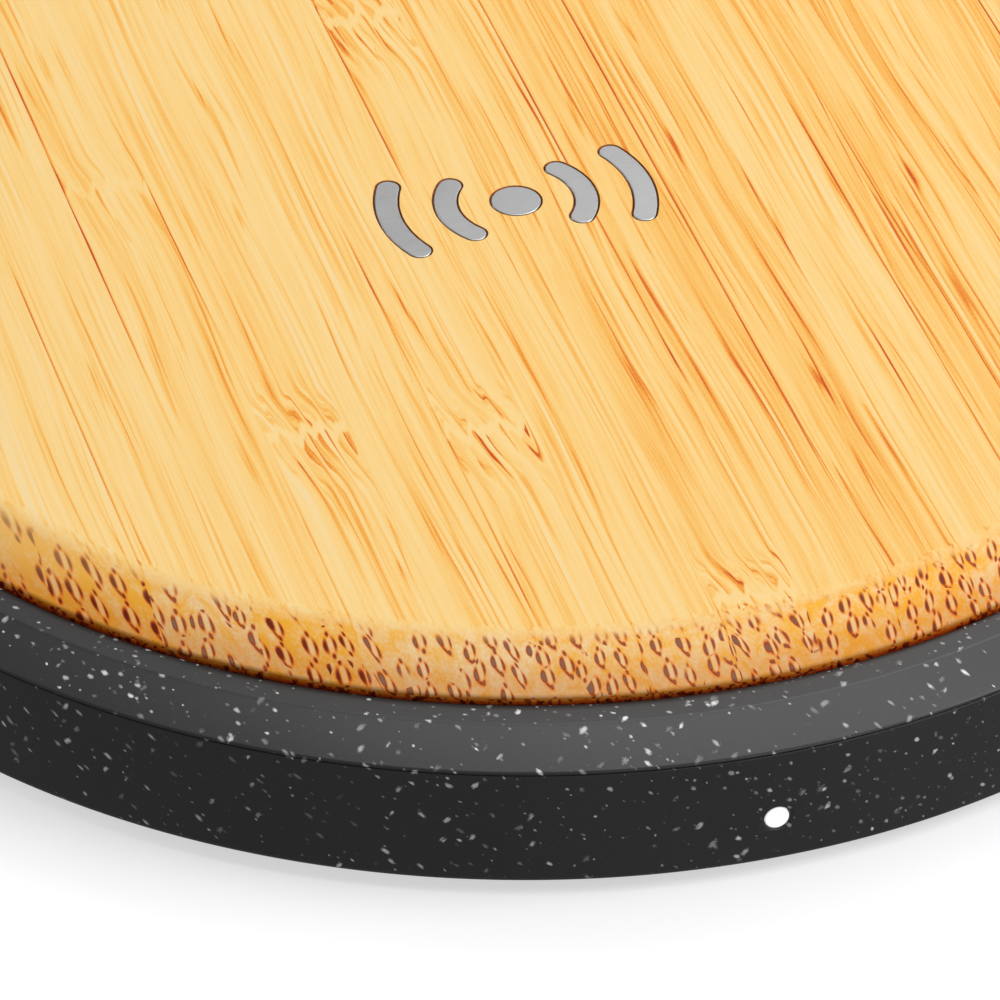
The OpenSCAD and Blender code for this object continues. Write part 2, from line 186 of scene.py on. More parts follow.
class Graph:
    """A material's node tree with one Principled shader, built by formulas."""

    def __init__(self, name, roughness, metallic=0.0, specular=0.5):
        self.material = bpy.data.materials.new(name)
        self.material.use_nodes = True
        self.tree = self.material.node_tree
        self.shader = self.tree.nodes["Principled BSDF"]
        self.shader.inputs["Roughness"].default_value = roughness
        self.shader.inputs["Metallic"].default_value = metallic
        self.shader.inputs["Specular IOR Level"].default_value = specular

    def node(self, kind, **settings):
        made = self.tree.nodes.new(kind)
        for key, value in settings.items():
            setattr(made, key, value)
        return made

    def feed(self, socket, value):
        """Links a signal to a socket, or sets the socket to a plain value."""
        if isinstance(value, Signal):
            self.tree.links.new(value.socket, socket)
        else:
            socket.default_value = value

    def math(self, operation, *values):
        made = self.node("ShaderNodeMath", operation=operation)
        for socket, value in zip(made.inputs, values):
            self.feed(socket, value)
        return Signal(self, made.outputs[0])

    def high(self, a, b):
        return self.math("MAXIMUM", a, b)

    def floor(self, a):
        return self.math("FLOOR", a)

    def absolute(self, a):
        return self.math("ABSOLUTE", a)

    def length(self, a, b):
        return self.math("SQRT", a * a + b * b)

    def step(self, value, start, end):
        """0 before start, 1 after end, smooth between. Falls if start is above end."""
        made = self.node("ShaderNodeMapRange", interpolation_type="SMOOTHSTEP")
        self.feed(made.inputs["Value"], value)
        self.feed(made.inputs["From Min"], start)
        self.feed(made.inputs["From Max"], end)
        return Signal(self, made.outputs["Result"])

    def place(self):
        """Object coordinates in mm, as three signals."""
        coords = self.node("ShaderNodeTexCoord")
        split = self.node("ShaderNodeSeparateXYZ")
        self.tree.links.new(coords.outputs["Object"], split.inputs[0])
        return tuple(Signal(self, out) * (1 / MM) for out in split.outputs)

    def facing(self):
        """The surface normal in the object's frame, as three signals."""
        coords = self.node("ShaderNodeTexCoord")
        split = self.node("ShaderNodeSeparateXYZ")
        self.tree.links.new(coords.outputs["Normal"], split.inputs[0])
        return tuple(Signal(self, out) for out in split.outputs)

    def vector(self, x, y, z):
        made = self.node("ShaderNodeCombineXYZ")
        for socket, value in zip(made.inputs, (x, y, z)):
            self.feed(socket, value)
        return Signal(self, made.outputs[0])

    def noise(self, x, y, z, detail, roughness=0.5):
        """Smooth noise about 0.5, at one feature per unit."""
        made = self.node("ShaderNodeTexNoise")
        self.feed(made.inputs["Vector"], self.vector(x, y, z))
        made.inputs["Scale"].default_value = 1.0
        made.inputs["Detail"].default_value = detail
        made.inputs["Roughness"].default_value = roughness
        return Signal(self, made.outputs[0])

    def cells(self, x, y, z, randomness=1.0):
        """Voronoi cells of unit size: distance, three random numbers, and the offset from the centre."""
        here = self.vector(x, y, z)
        made = self.node("ShaderNodeTexVoronoi", voronoi_dimensions="3D")
        self.feed(made.inputs["Vector"], here)
        made.inputs["Scale"].default_value = 1.0
        made.inputs["Randomness"].default_value = randomness
        dice = self.node("ShaderNodeSeparateColor")
        self.tree.links.new(made.outputs["Color"], dice.inputs[0])
        offset = self.node("ShaderNodeVectorMath", operation="SUBTRACT")
        self.feed(offset.inputs[0], here)
        self.tree.links.new(made.outputs["Position"], offset.inputs[1])
        split = self.node("ShaderNodeSeparateXYZ")
        self.tree.links.new(offset.outputs[0], split.inputs[0])
        return (
            Signal(self, made.outputs["Distance"]),
            tuple(Signal(self, out) for out in dice.outputs),
            tuple(Signal(self, out) for out in split.outputs),
        )

    def mix(self, amount, a, b, blend="MIX"):
        made = self.node("ShaderNodeMix", data_type="RGBA", blend_type=blend)
        self.feed(made.inputs[0], amount)
        self.feed(made.inputs[6], a)
        self.feed(made.inputs[7], b)
        return Signal(self, made.outputs[2])

    def ramp(self, amount, stops, interpolation="LINEAR"):
        made = self.node("ShaderNodeValToRGB")
        made.color_ramp.interpolation = interpolation
        elements = made.color_ramp.elements
        while len(elements) < len(stops):
            elements.new(0.5)
        for element, (position, colour) in zip(elements, stops):
            element.position = position
            element.color = colour
        self.feed(made.inputs[0], amount)
        return Signal(self, made.outputs[0])

    def relief(self, height, depth, strength):
        """Bumps the surface by height, where 1 is depth in metres."""
        made = self.node("ShaderNodeBump")
        made.inputs["Strength"].default_value = strength
        made.inputs["Distance"].default_value = depth
        self.feed(made.inputs["Height"], height)
        self.tree.links.new(made.outputs["Normal"], self.shader.inputs["Normal"])

    def colour(self, value):
        self.feed(self.shader.inputs["Base Color"], value)

    def roughness(self, value):
        self.feed(self.shader.inputs["Roughness"], value)


# ---------------------------------------------------------------- materials

# Wood seen along its fibres, from the palest streak to the darkest line.
FIBRE_TONES = (
    (0.00, lit(247, 217, 162)),
    (0.18, lit(250, 215, 148)),
    (0.38, lit(251, 209, 132)),
    (0.54, lit(250, 197, 109)),
    (0.67, lit(248, 180, 84)),
    (0.77, lit(243, 158, 60)),
    (0.88, lit(230, 120, 46)),
    (1.00, lit(204, 82, 34)),
)
TONE_SPAN = 1.2
# Wood seen across its fibres.
END_PALE = lit(250, 218, 167)
END_DEEP = lit(255, 184, 60)
# Painted shade, multiplied into the lower bevel.
END_LOW_SHADE = srgb(232, 213, 203)
END_VESSEL = lit(240, 214, 162)
# Painted highlight, laid along the crease of the bevel.
CREASE_HIGHLIGHT = lit(247, 213, 150)
HALO = lit(238, 122, 34)
BUNDLE_RIM = lit(162, 68, 26)
BUNDLE_GREY = lit(142, 104, 84)
BUNDLE_BROWN = lit(112, 36, 10)
BURNT = lit(112, 56, 24)
FOOT = srgb(250, 205, 110)
FOOT_EDGE = srgb(200, 140, 80)
FOOT_SPOT = srgb(135, 90, 70)
# Painted shade, multiplied into the shell's level ring.
RING_SHADE = srgb(186, 186, 186)


def grey(value):
    return srgb(value, value, value)


def swerve(g, x, y):
    """At the knuckles: the fibres' sideways shift, the gap in them, the dark start below, and how near."""
    shift, gap, start, near = 0.0, 0.0, 0.0, 0.0
    ragged = (g.noise(x * 1.3, 0.0, 3.0, detail=1.0) - 0.5) * 5.0
    for centre_x, centre_y, strength in KNUCKLES:
        across = g.step(g.absolute(x - centre_x), STRIP_W * 0.52, STRIP_W * 0.44) * strength
        along = y - centre_y + ragged
        above = g.step(along, 4.5, 0.3) * g.step(along, 0.0, 0.3)
        below = g.step(along, -7.0, -0.3) * g.step(along, 0.0, -0.3)
        shift = shift + across * (above * 0.85 - below * 0.85)
        gap = gap + across * g.step(g.absolute(along), 0.7, 0.3)
        start = start + across * g.step(along, -5.5, -1.5) * g.step(along, 0.0, -0.6)
        near = near + across * g.step(g.absolute(along), 9.0, 2.0)
    return shift, gap, start, near


def cap(g, across, up, shape, heft=0.0, turn=0.0):
    """How deep a point lies inside a cap's ellipse, in mm of its width. Negative outside."""
    centre_x, centre_up, half_w, half_h = shape
    dx = across - centre_x
    dy = up - centre_up
    if turn:
        dx, dy = dx * math.cos(turn) + dy * math.sin(turn), dx * math.sin(turn) - dy * math.cos(turn)
    half_w = half_w + heft
    return (1.0 - g.length(dx / half_w, dy / half_h)) * half_w


def bundle(g, across, up, heft, hooked):
    """A vascular bundle's section about its centre, in mm: (depth inside its dark caps, pale middle).

    The left cap is the thickest. A dot sits above, and one below that may hang on the left cap.
    """
    bend = up * up * CAP_BEND
    sides = g.high(cap(g, across - bend, up, CAP_LEFT, heft * 0.07), cap(g, across + bend, up, CAP_RIGHT))
    dots = g.high(cap(g, across, up, CAP_ABOVE), cap(g, across, up, CAP_BELOW))
    hook = cap(g, across, up, CAP_HOOK, turn=HOOK_TURN) - (1.0 - hooked)
    middle = g.step(g.length(across / 0.24, up / 0.32), 1.0, 0.6)
    return g.high(g.high(sides, dots), hook), middle


def per_strip(g, strip, values):
    """A value of its own for each strip, from a list."""
    first = -len(values) // 2
    stops = [(i / len(values), (v, v, v, 1.0)) for i, v in enumerate(values)]
    return g.ramp((strip - first + 0.5) / len(values), stops, "CONSTANT")


class Fibres:
    """Where a point of the bamboo lies: its strip, and its place among the fibres, in mm."""

    def __init__(self, g):
        self.x, self.y, self.z = x, y, z = g.place()
        self.strip = strip = g.floor((x - STRIP_EDGE) / STRIP_W)
        self.inside = x - STRIP_EDGE - strip * STRIP_W
        shift, self.gap, self.start, self.near = swerve(g, x, y)
        drift = g.noise(strip * 3.7, y / 34, 0.0, detail=1.0) - 0.5
        ripple = g.noise(x / 2.2, y / 7, strip * 1.9, detail=1.0) - 0.5
        self.across = x - shift + drift * 1.6 + ripple * 0.12
        # How far the bevel has cut down into the fibres, and a slow wander of their height.
        self.height = z - RING_Z / MM
        cut = g.high(g.length(x, y) - CUT_START, 0.0) * math.tan(BEVEL_ANGLE)
        cut = cut + g.high(FOOT_WALL - self.height, 0.0)
        sink = g.noise(x / 2.6, y / 46, strip * 5.1, detail=1.0) - 0.5
        self.up = sink * 1.6 + strip * 11.3 - cut
        # Each strip's end-grain tone, with painted shade on the first strips.
        self.deepness_and_shade = per_strip(g, strip, STRIP_END_TONES_AND_SHADE)
        self.find_bundle(g)
        self.find_streaks(g)

    def find_bundle(self, g):
        """The vessel bundles run along Y: rings on the end grain, long pairs of lines on the flat."""
        self.dice, offset = g.cells(
            self.across / BUNDLE_PITCH_X, self.strip * 3.0, self.up / BUNDLE_PITCH_Z, randomness=0.5
        )[1:]
        self.aside = offset[0] * BUNDLE_PITCH_X
        size = 0.72 + self.dice[0] * 0.20
        heft = self.dice[1] * self.dice[2] * 1.6 + g.step(self.deepness_and_shade, 0.65, 1.0) * 0.5
        hooked = g.step(self.dice[2], 0.45, 0.55)
        self.depth, middle = bundle(g, self.aside / size, offset[2] * BUNDLE_PITCH_Z / size, heft, hooked)
        crowd = g.noise(self.across * 0.35, self.strip, self.up * 0.5, detail=1.0)
        self.present = g.step(self.dice[1] + (crowd - 0.5) * 1.2, 0.04, 0.10)
        self.vessel = middle * self.present

    def find_streaks(self, g):
        """Streaks of the ground tissue in three widths, its grit, and the glue line beside a strip."""
        fx, fz, y = self.across, self.up, self.y
        self.broad = g.noise(fx * 0.75, y / 45, fz * 0.75, detail=1.0)
        self.medium = g.noise(fx * 2.4, y / 34, fz * 2.4, detail=2.0)
        self.fine = g.noise(fx * 8.0, y / 16, fz * 8.0, detail=3.0, roughness=0.65)
        self.grit = g.noise(self.x * 7.0, y * 5.0, self.z * 7.0, detail=2.0)
        seam_wave = g.noise(self.strip * 7.3, y / 40, 2.0, detail=1.0)
        self.seam = g.step(self.inside, 0.20, 0.06) * g.step(seam_wave, 0.44, 0.56)


def colour_along(g, f):
    """The wood's colour on the flat, where the fibres are seen from the side."""
    field = g.noise(f.across * 1.15, f.y / 60, f.up * 0.6 + 7.0, detail=1.0)
    field_wave = g.noise(f.across * 0.8, f.y / 18, 11.0, detail=1.0)
    threads_on = g.high(g.step(field_wave, 0.42, 0.60), f.near * 0.9)
    threads = g.step(g.absolute(field - 0.52), 0.030 + f.near * 0.02, 0.004) * threads_on

    wave = g.noise(f.dice[2] * 30.0, f.y / 18, f.dice[0] * 20.0, detail=1.0)
    strength = g.high(g.step(wave, 0.36, 0.64), f.near * 0.8)
    line = g.step(f.depth, -0.03, 0.02) * f.present * strength
    pith = g.step(g.absolute(f.aside - 0.07), 0.16, 0.03) * f.vessel * strength

    dark = per_strip(g, f.strip, STRIP_TONES) + (f.broad - 0.5) * 0.7 + (f.medium - 0.5) * 0.8
    dark = dark + (f.fine - 0.5) * 0.75 + (f.grit - 0.5) * 0.2
    dark = dark + line * (0.27 + f.near * 0.08 + f.start * 0.3) - pith * 0.28 + threads * 0.36
    dark = g.mix(f.gap * 0.8, dark, (0.2, 0.2, 0.2, 1.0)) + f.seam * 0.5
    return g.ramp(dark / TONE_SPAN, FIBRE_TONES)


def colour_across(g, f):
    """The wood's colour on the bevel, where the fibres are cut: bundles in wood, with painted shade that
    darkens it downwards.
    """
    speckle = g.noise(f.across * 5.0, f.strip, f.up * 9.0, detail=3.0, roughness=0.7)
    cloud = g.noise(f.across * 1.1, f.strip, f.up * 2.2, detail=1.0)
    mottle = (speckle - 0.5) * 1.8 + (f.grit - 0.5) * 0.8 + (cloud - 0.5) * 1.8 + f.seam * 0.6
    band = g.mix(f.deepness_and_shade + mottle, END_PALE, END_DEEP)
    # Painted shade: the bevel darkens towards its foot.
    band = g.mix(g.step(f.height, 1.9, 0.45), band, END_LOW_SHADE, "MULTIPLY")

    # The bundles fade out at the crease.
    marks = f.present * g.step(f.height, 2.14, 1.82)
    core = g.mix(g.step(f.deepness_and_shade, 0.5, 0.85), BUNDLE_GREY, BUNDLE_BROWN)
    band = g.mix(f.vessel * marks * 0.4, band, END_VESSEL)
    band = g.mix(g.step(f.depth, -0.10, 0.0) * marks * (0.5 + f.deepness_and_shade * 0.4), band, HALO)
    band = g.mix(g.step(f.depth, -0.03, 0.035) * marks, band, BUNDLE_RIM)
    return g.mix(g.step(f.depth, 0.03, 0.085) * marks, band, core)


def darken_foot(g, f, wood):
    """The bevel's colour darkens towards its foot, with dark spots near the edge."""
    ragged = f.height + (g.noise(f.x * 1.4, f.y * 1.4, f.z, detail=2.0) - 0.5) * 0.15
    dark_spots = g.step(g.noise(f.x * 2.6, f.y * 2.6, f.z * 2.6, detail=1.0), 0.52, 0.62)
    wood = g.mix(g.step(ragged, 0.46, 0.24), wood, FOOT, "MULTIPLY")
    wood = g.mix(g.step(ragged, 0.26, 0.02), wood, FOOT_EDGE, "MULTIPLY")
    return g.mix(dark_spots * g.step(ragged, 0.34, 0.18), wood, FOOT_SPOT, "MULTIPLY")


def bamboo_material():
    """Laminated bamboo in a satin finish, with its fibres along Y all through the disc."""
    g = Graph("bamboo_satin", roughness=0.5, specular=0.14)
    end_grain = g.step(g.absolute(g.facing()[1]), 0.03, 0.31)
    f = Fibres(g)
    wood = g.mix(end_grain, colour_along(g, f), colour_across(g, f))
    # Painted highlight: a pale band where the flat turns into the bevel.
    wood = g.mix(end_grain * (1.0 - end_grain) * 0.9, wood, CREASE_HIGHLIGHT)
    g.colour(darken_foot(g, f, wood))
    g.roughness(0.42 + (f.medium * 0.4 + f.fine * 0.6) * 0.16 + end_grain * 0.1)
    g.relief(f.fine * 0.6 + f.medium * 0.4 - f.vessel * 0.3, depth=0.012 * MM, strength=0.4)
    return g.material


def scorched_material():
    """The walls and rims of the mark's pockets, browned by the cutter."""
    g = Graph("bamboo_scorched", roughness=0.7, specular=0.2)
    x, y, z = g.place()
    mottle = g.noise(x * 3, y * 3, z * 3, detail=3.0)
    g.colour(g.ramp(mottle, [(0.25, BURNT), (0.7, srgb(190, 104, 38))]))
    g.relief(mottle, depth=0.02 * MM, strength=0.5)
    return g.material


def flecks(g, x, y, z, cell, reach, share, lean, seed):
    """Ragged pale grains, drawn out by lean, in a share of the cells: how pale, from 0 to 1."""
    x, y, z = x + z * lean, y + x * lean, z - y * lean
    ragged = 0.36 * cell
    warp = []
    for shift in ((seed, 0.0, 0.0), (0.0, seed, 0.0), (0.0, 0.0, seed)):
        at = [value * 3.1 + add for value, add in zip((x, y, z), shift)]
        warp.append((g.noise(*at, detail=2.0, roughness=0.7) - 0.5) * ragged)
    distance, dice = g.cells((x + warp[0]) / cell + seed, (y + warp[1]) / cell, (z + warp[2]) / cell)[:2]
    radius = reach * (0.40 + 0.60 * dice[0])
    grain = g.step(distance * cell, radius + 0.025, radius * 0.35)
    return grain * g.step(dice[2], share, share - 0.02) * (0.16 + 0.84 * dice[1] * dice[1])


# Layers of flecks: cell size and largest radius in mm, share of the cells, lean, and a seed of its own.
FLECK_LAYERS = (
    (0.76, 0.20, 0.86, 0.45, 3.0),
    (1.25, 0.31, 0.68, -0.5, 17.0),
    (0.50, 0.10, 0.40, 0.3, 31.0),
)


def shell_material():
    """Charcoal moulding compound with ragged white and grey flecks."""
    g = Graph("shell_flecked", roughness=0.38, specular=0.5)
    x, y, z = g.place()
    cloud = g.noise(x / 9, y / 9, z / 9, detail=2.0)
    dust = g.noise(x * 9, y * 9, z * 9, detail=1.0)
    tint = g.ramp(cloud * 0.4 + dust * 0.6, [(0.3, grey(43)), (0.7, grey(52))])
    # Painted shade: the level ring's colour is darkened against the slope, which catches more sheen.
    ring = g.step(z - RING_Z / MM, -0.07, -0.01)
    tint = g.mix(ring, tint, RING_SHADE, "MULTIPLY")
    pale = 0.0
    for layer in FLECK_LAYERS:
        pale = g.high(pale, flecks(g, x, y, z, *layer))
    g.colour(g.mix(pale, tint, grey(238)))
    spark = g.noise(x * 7, y * 7, z * 7, detail=3.0, roughness=0.7)
    g.roughness(0.33 + spark * 0.10)
    g.relief(spark, depth=0.006 * MM, strength=0.4)
    return g.material


def moulded_material(name, shade, roughness):
    """Plain dark moulding with a spark-eroded texture and slight wear."""
    g = Graph(name, roughness=roughness, specular=0.35)
    x, y, z = g.place()
    cloud = g.noise(x / 7, y / 7, z / 7, detail=3.0)
    g.colour(g.ramp(cloud, [(0.3, grey(shade - 4)), (0.7, grey(shade + 4))]))
    spark = g.noise(x * 7.0, y * 7.0, z * 7.0, detail=3.0, roughness=0.7)
    g.roughness(roughness - 0.07 + spark * 0.14)
    g.relief(spark, depth=0.015 * MM, strength=0.7)
    return g.material


def silicone_material():
    """Dull black silicone with a trace of dust."""
    g = Graph("foot_silicone", roughness=0.75, specular=0.3)
    x, y, z = g.place()
    dust = g.noise(x * 1.5, y * 1.5, z * 1.5, detail=4.0, roughness=0.7)
    g.colour(g.ramp(dust, [(0.35, grey(34)), (0.75, grey(46))]))
    fine = g.noise(x * 12, y * 12, z * 12, detail=2.0)
    g.roughness(0.68 + dust * 0.16)
    g.relief(fine, depth=0.01 * MM, strength=0.5)
    return g.material


def brushed_material(name, dark, pale, roughness, grain=(0.35, 16.0, 16.0)):
    """Metal with brush lines along the first axis of grain, in lines per mm."""
    g = Graph(name, roughness=roughness, metallic=1.0)
    x, y, z = g.place()
    brush = g.noise(x * grain[0], y * grain[1], z * grain[2], detail=3.0, roughness=0.6)
    cloud = g.noise(x / 3, y / 3, z / 3, detail=2.0)
    g.colour(g.ramp(brush * 0.6 + cloud * 0.4, [(0.3, dark), (0.7, pale)]))
    g.roughness(roughness - 0.06 + brush * 0.12)
    g.relief(brush, depth=0.004 * MM, strength=0.5)
    return g.material


def diffuser_material():
    """Milky light pipe, lit from behind."""
    g = Graph("diffuser_milky", roughness=0.35)
    x, y, z = g.place()
    haze = g.noise(x * 2, y * 2, z * 2, detail=2.0)
    g.colour(g.ramp(haze, [(0.3, grey(236)), (0.7, grey(246))]))
    g.shader.inputs["Emission Color"].default_value = grey(250)
    g.shader.inputs["Emission Strength"].default_value = 0.6
    g.roughness(0.3 + haze * 0.1)
    g.relief(haze, depth=0.01 * MM, strength=0.3)
    return g.material


def plain_material(name, dark, pale, roughness, scale=4.0):
    """Inner parts: a mottled colour with a fine texture."""
    g = Graph(name, roughness=roughness)
    x, y, z = g.place()
    mottle = g.noise(x * scale, y * scale, z * scale, detail=3.0, roughness=0.6)
    g.colour(g.ramp(mottle, [(0.3, dark), (0.7, pale)]))
    g.roughness(roughness - 0.06 + mottle * 0.12)
    g.relief(mottle, depth=0.01 * MM, strength=0.6)
    return g.material


def litz_material():
    """Enamelled copper with the twist of its strands."""
    g = Graph("copper_litz", roughness=0.35, metallic=1.0)
    x, y, z = g.place()
    radius = g.length(x, y)
    angle = g.math("ARCTAN2", y, x)
    twist = g.math("SINE", angle * 90.0 + z * 9.0 + radius * 5.0)
    strand = g.step(twist, -0.9, 0.6)
    g.colour(g.mix(strand, srgb(150, 74, 38), srgb(222, 134, 82)))
    g.relief(strand, depth=0.03 * MM, strength=0.7)
    return g.material


# ---------------------------------------------------------------- meshes


def smooth(piece, sharp):
    """Smooth shading that breaks at edges sharper than this angle, and follows the large faces."""
    piece.data.shade_smooth()
    piece.data.set_sharp_from_angle(angle=math.radians(sharp))
    weighted = piece.modifiers.new("face normals", "WEIGHTED_NORMAL")
    weighted.keep_sharp = True


def arc(centre_x, centre_y, radius, start, end, steps):
    """Points of an arc in a plane, from one angle to another, in degrees."""
    angles = [math.radians(start + (end - start) * i / steps) for i in range(steps + 1)]
    return [(centre_x + radius * math.cos(a), centre_y + radius * math.sin(a)) for a in angles]


def crowned(start, end, crown, steps=8):
    """Points between two of a section's points, on an arc that turns by the crown angle."""
    run_r = end[0] - start[0]
    run_z = end[1] - start[1]
    points = []
    for i in range(1, steps):
        t = i / steps
        bulge = math.tan(crown / 4) * 2 * t * (1 - t)
        points.append((start[0] + run_r * t + run_z * bulge, start[1] + run_z * t - run_r * bulge))
    return points


def loft(name, sections, material, closed=False, sharp=SHARP_ANGLE):
    """Skins outlines of 3D points in turn. Closed, the last joins the first, and else both are capped."""
    mesh = bpy.data.meshes.new(name)
    form = bmesh.new()
    rings = [[form.verts.new(p) for p in section] for section in sections]
    pairs = list(zip(rings, rings[1:]))
    if closed:
        pairs.append((rings[-1], rings[0]))
    count = len(rings[0])
    for below, above in pairs:
        for i in range(count):
            j = (i + 1) % count
            form.faces.new((below[i], below[j], above[j], above[i]))
    if not closed:
        form.faces.new(rings[0][::-1])
        form.faces.new(rings[-1])
    bmesh.ops.recalc_face_normals(form, faces=form.faces)
    form.to_mesh(mesh)
    form.free()
    mesh.materials.append(material)
    piece = bpy.data.objects.new(name, mesh)
    bpy.context.scene.collection.objects.link(piece)
    smooth(piece, sharp)
    return piece


def revolve(name, section, material, closed):
    """Turns a section of (radius, height) points round Z."""
    turns = [2 * math.pi * i / ROUND_STEPS for i in range(ROUND_STEPS)]
    rings = [[(r * math.cos(a), r * math.sin(a), height) for a in turns] for r, height in section]
    return loft(name, rings, material, closed=closed)


def join(name, pieces):
    """One object from several."""
    form = bmesh.new()
    for piece in pieces:
        form.from_mesh(piece.data)
    mesh = pieces[0].data
    form.to_mesh(mesh)
    form.free()
    for piece in pieces[1:]:
        bpy.data.objects.remove(piece)
    pieces[0].name = name
    return pieces[0]


def carve(piece, cutters):
    """Cuts the cutters out of the piece for good. Their materials line the cuts."""
    piece.modifiers.clear()
    for cutter in cutters:
        cut = piece.modifiers.new("cut", "BOOLEAN")
        cut.operation = "DIFFERENCE"
        cut.solver = "EXACT"
        cut.material_mode = "TRANSFER"
        cut.object = cutter
    graph = bpy.context.evaluated_depsgraph_get()
    mesh = bpy.data.meshes.new_from_object(piece.evaluated_get(graph))
    piece.modifiers.clear()
    piece.data = mesh
    smooth(piece, SHARP_ANGLE)
    for cutter in cutters:
        bpy.data.objects.remove(cutter)


def settle(piece, slot, *nodes):
    """The piece rides on the pad and stands for CAD nodes, which it hides. The slot is not used."""
    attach(piece, BODY)
    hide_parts(*nodes)


# ---------------------------------------------------------------- outlines


def stroke_outline(radius, half_angle, width, side, end_steps=24, arc_steps=64):
    """Closed outline of an arc-shaped stroke with round ends, on the +X or -X side."""
    half = math.degrees(half_angle)
    end_x = radius * math.cos(half_angle)
    end_y = radius * math.sin(half_angle)
    points = arc(0, 0, radius + width / 2, -half, half, arc_steps)
    points += arc(end_x, end_y, width / 2, half, half + 180, end_steps)[1:-1]
    points += arc(0, 0, radius - width / 2, half, -half, arc_steps)
    points += arc(end_x, -end_y, width / 2, 180 - half, 360 - half, end_steps)[1:-1]
    return [(side * px, side * py) for px, py in points]


def circle_outline(radius, steps=96):
    turns = [2 * math.pi * i / steps for i in range(steps)]
    return [(radius * math.cos(a), radius * math.sin(a)) for a in turns]


def stadium_outline(width, height, steps=24):
    """Slot outline with round ends, in the XZ plane."""
    radius = height / 2
    reach = width / 2 - radius
    return arc(reach, 0, radius, -90, 90, steps) + arc(-reach, 0, radius, 90, 270, steps)


def mark_outlines(grow):
    """The outlines of the mark's five pieces, each stroke widened by grow on both sides."""
    outlines = [circle_outline(MARK_DOT_R + grow)]
    for side in (-1, 1):
        for radius, half_angle in MARK_ARCS:
            outlines.append(stroke_outline(radius, half_angle, MARK_STROKE + 2 * grow, side))
    return outlines


def raise_outlines(levels):
    """For each of the mark's pieces, its outline at each (height, grow) level."""
    stacks = [[] for _ in mark_outlines(0)]
    for height, grow in levels:
        for stack, outline in zip(stacks, mark_outlines(grow)):
            stack.append([(px, py, height) for px, py in outline])
    return stacks


# ---------------------------------------------------------------- pieces


def make_bamboo(bamboo, scorched):
    """The disc with its bevelled edge and the pockets for the mark."""
    foot_chamfer = 0.2 * MM
    crown_support = 0.6 * MM
    slope = math.degrees(BEVEL_ANGLE)
    corner_z = TOP_Z - BEVEL_W * math.tan(BEVEL_ANGLE)
    foot_z = corner_z - BEVEL_FOOT_R * math.tan(math.radians(45 - slope / 2))
    crease_r = BAMBOO_R - BEVEL_W - BEVEL_CREASE_R * math.tan(BEVEL_ANGLE / 2)
    section = [
        (BAMBOO_R - 3 * foot_chamfer, BAMBOO_Z),
        (BAMBOO_R - foot_chamfer, BAMBOO_Z),
        (BAMBOO_R, BAMBOO_Z + foot_chamfer),
    ]
    foot = arc(BAMBOO_R - BEVEL_FOOT_R, foot_z, BEVEL_FOOT_R, 0, 90 - slope, 16)
    crease = arc(crease_r, TOP_Z - BEVEL_CREASE_R, BEVEL_CREASE_R, 90 - slope, 90, 12)
    section += foot + crowned(foot[-1], crease[0], BEVEL_CROWN) + crease
    section.append((crease_r - crown_support, TOP_Z))
    disc = revolve("bamboo_disc", section, bamboo, closed=False)
    pocket_z = TOP_Z - MARK_DEPTH
    levels = (
        (pocket_z, POCKET_GAP),
        (TOP_Z - POCKET_FLARE, POCKET_GAP),
        (TOP_Z, POCKET_GAP + POCKET_FLARE),
        (TOP_Z + MM, POCKET_GAP + POCKET_FLARE),
    )
    cutters = [loft("pocket", stack, scorched) for stack in raise_outlines(levels)]
    carve(disc, cutters)
    settle(disc, "bamboo", "bamboo_top")


def make_mark(metal):
    """The metal mark, let in flush, with softened edges."""
    levels = [(TOP_Z - MARK_DEPTH, -MARK_BEVEL), (TOP_Z - MARK_DEPTH + MARK_BEVEL, 0.0)]
    levels += [(z, grow) for grow, z in arc(-MARK_BEVEL, TOP_Z - MARK_BEVEL, MARK_BEVEL, 0, 90, 4)]
    strokes = [loft("stroke", stack, metal, sharp=40) for stack in raise_outlines(levels)]
    settle(join("mark_inlay", strokes), "inlay_metal", "inlay_mark")


def shadow_line(top_z):
    """The fine groove in the wall below top_z, from its soft lower lip up."""
    lip_r = 0.06 * MM
    low_z = top_z - SHADOW_W
    points = [(PAD_R, low_z - 0.5 * MM)]
    points += arc(PAD_R - lip_r, low_z - lip_r, lip_r, 0, 90, 5)
    points += [(PAD_R - SHADOW_DEPTH, low_z), (PAD_R - SHADOW_DEPTH, top_z)]
    return points


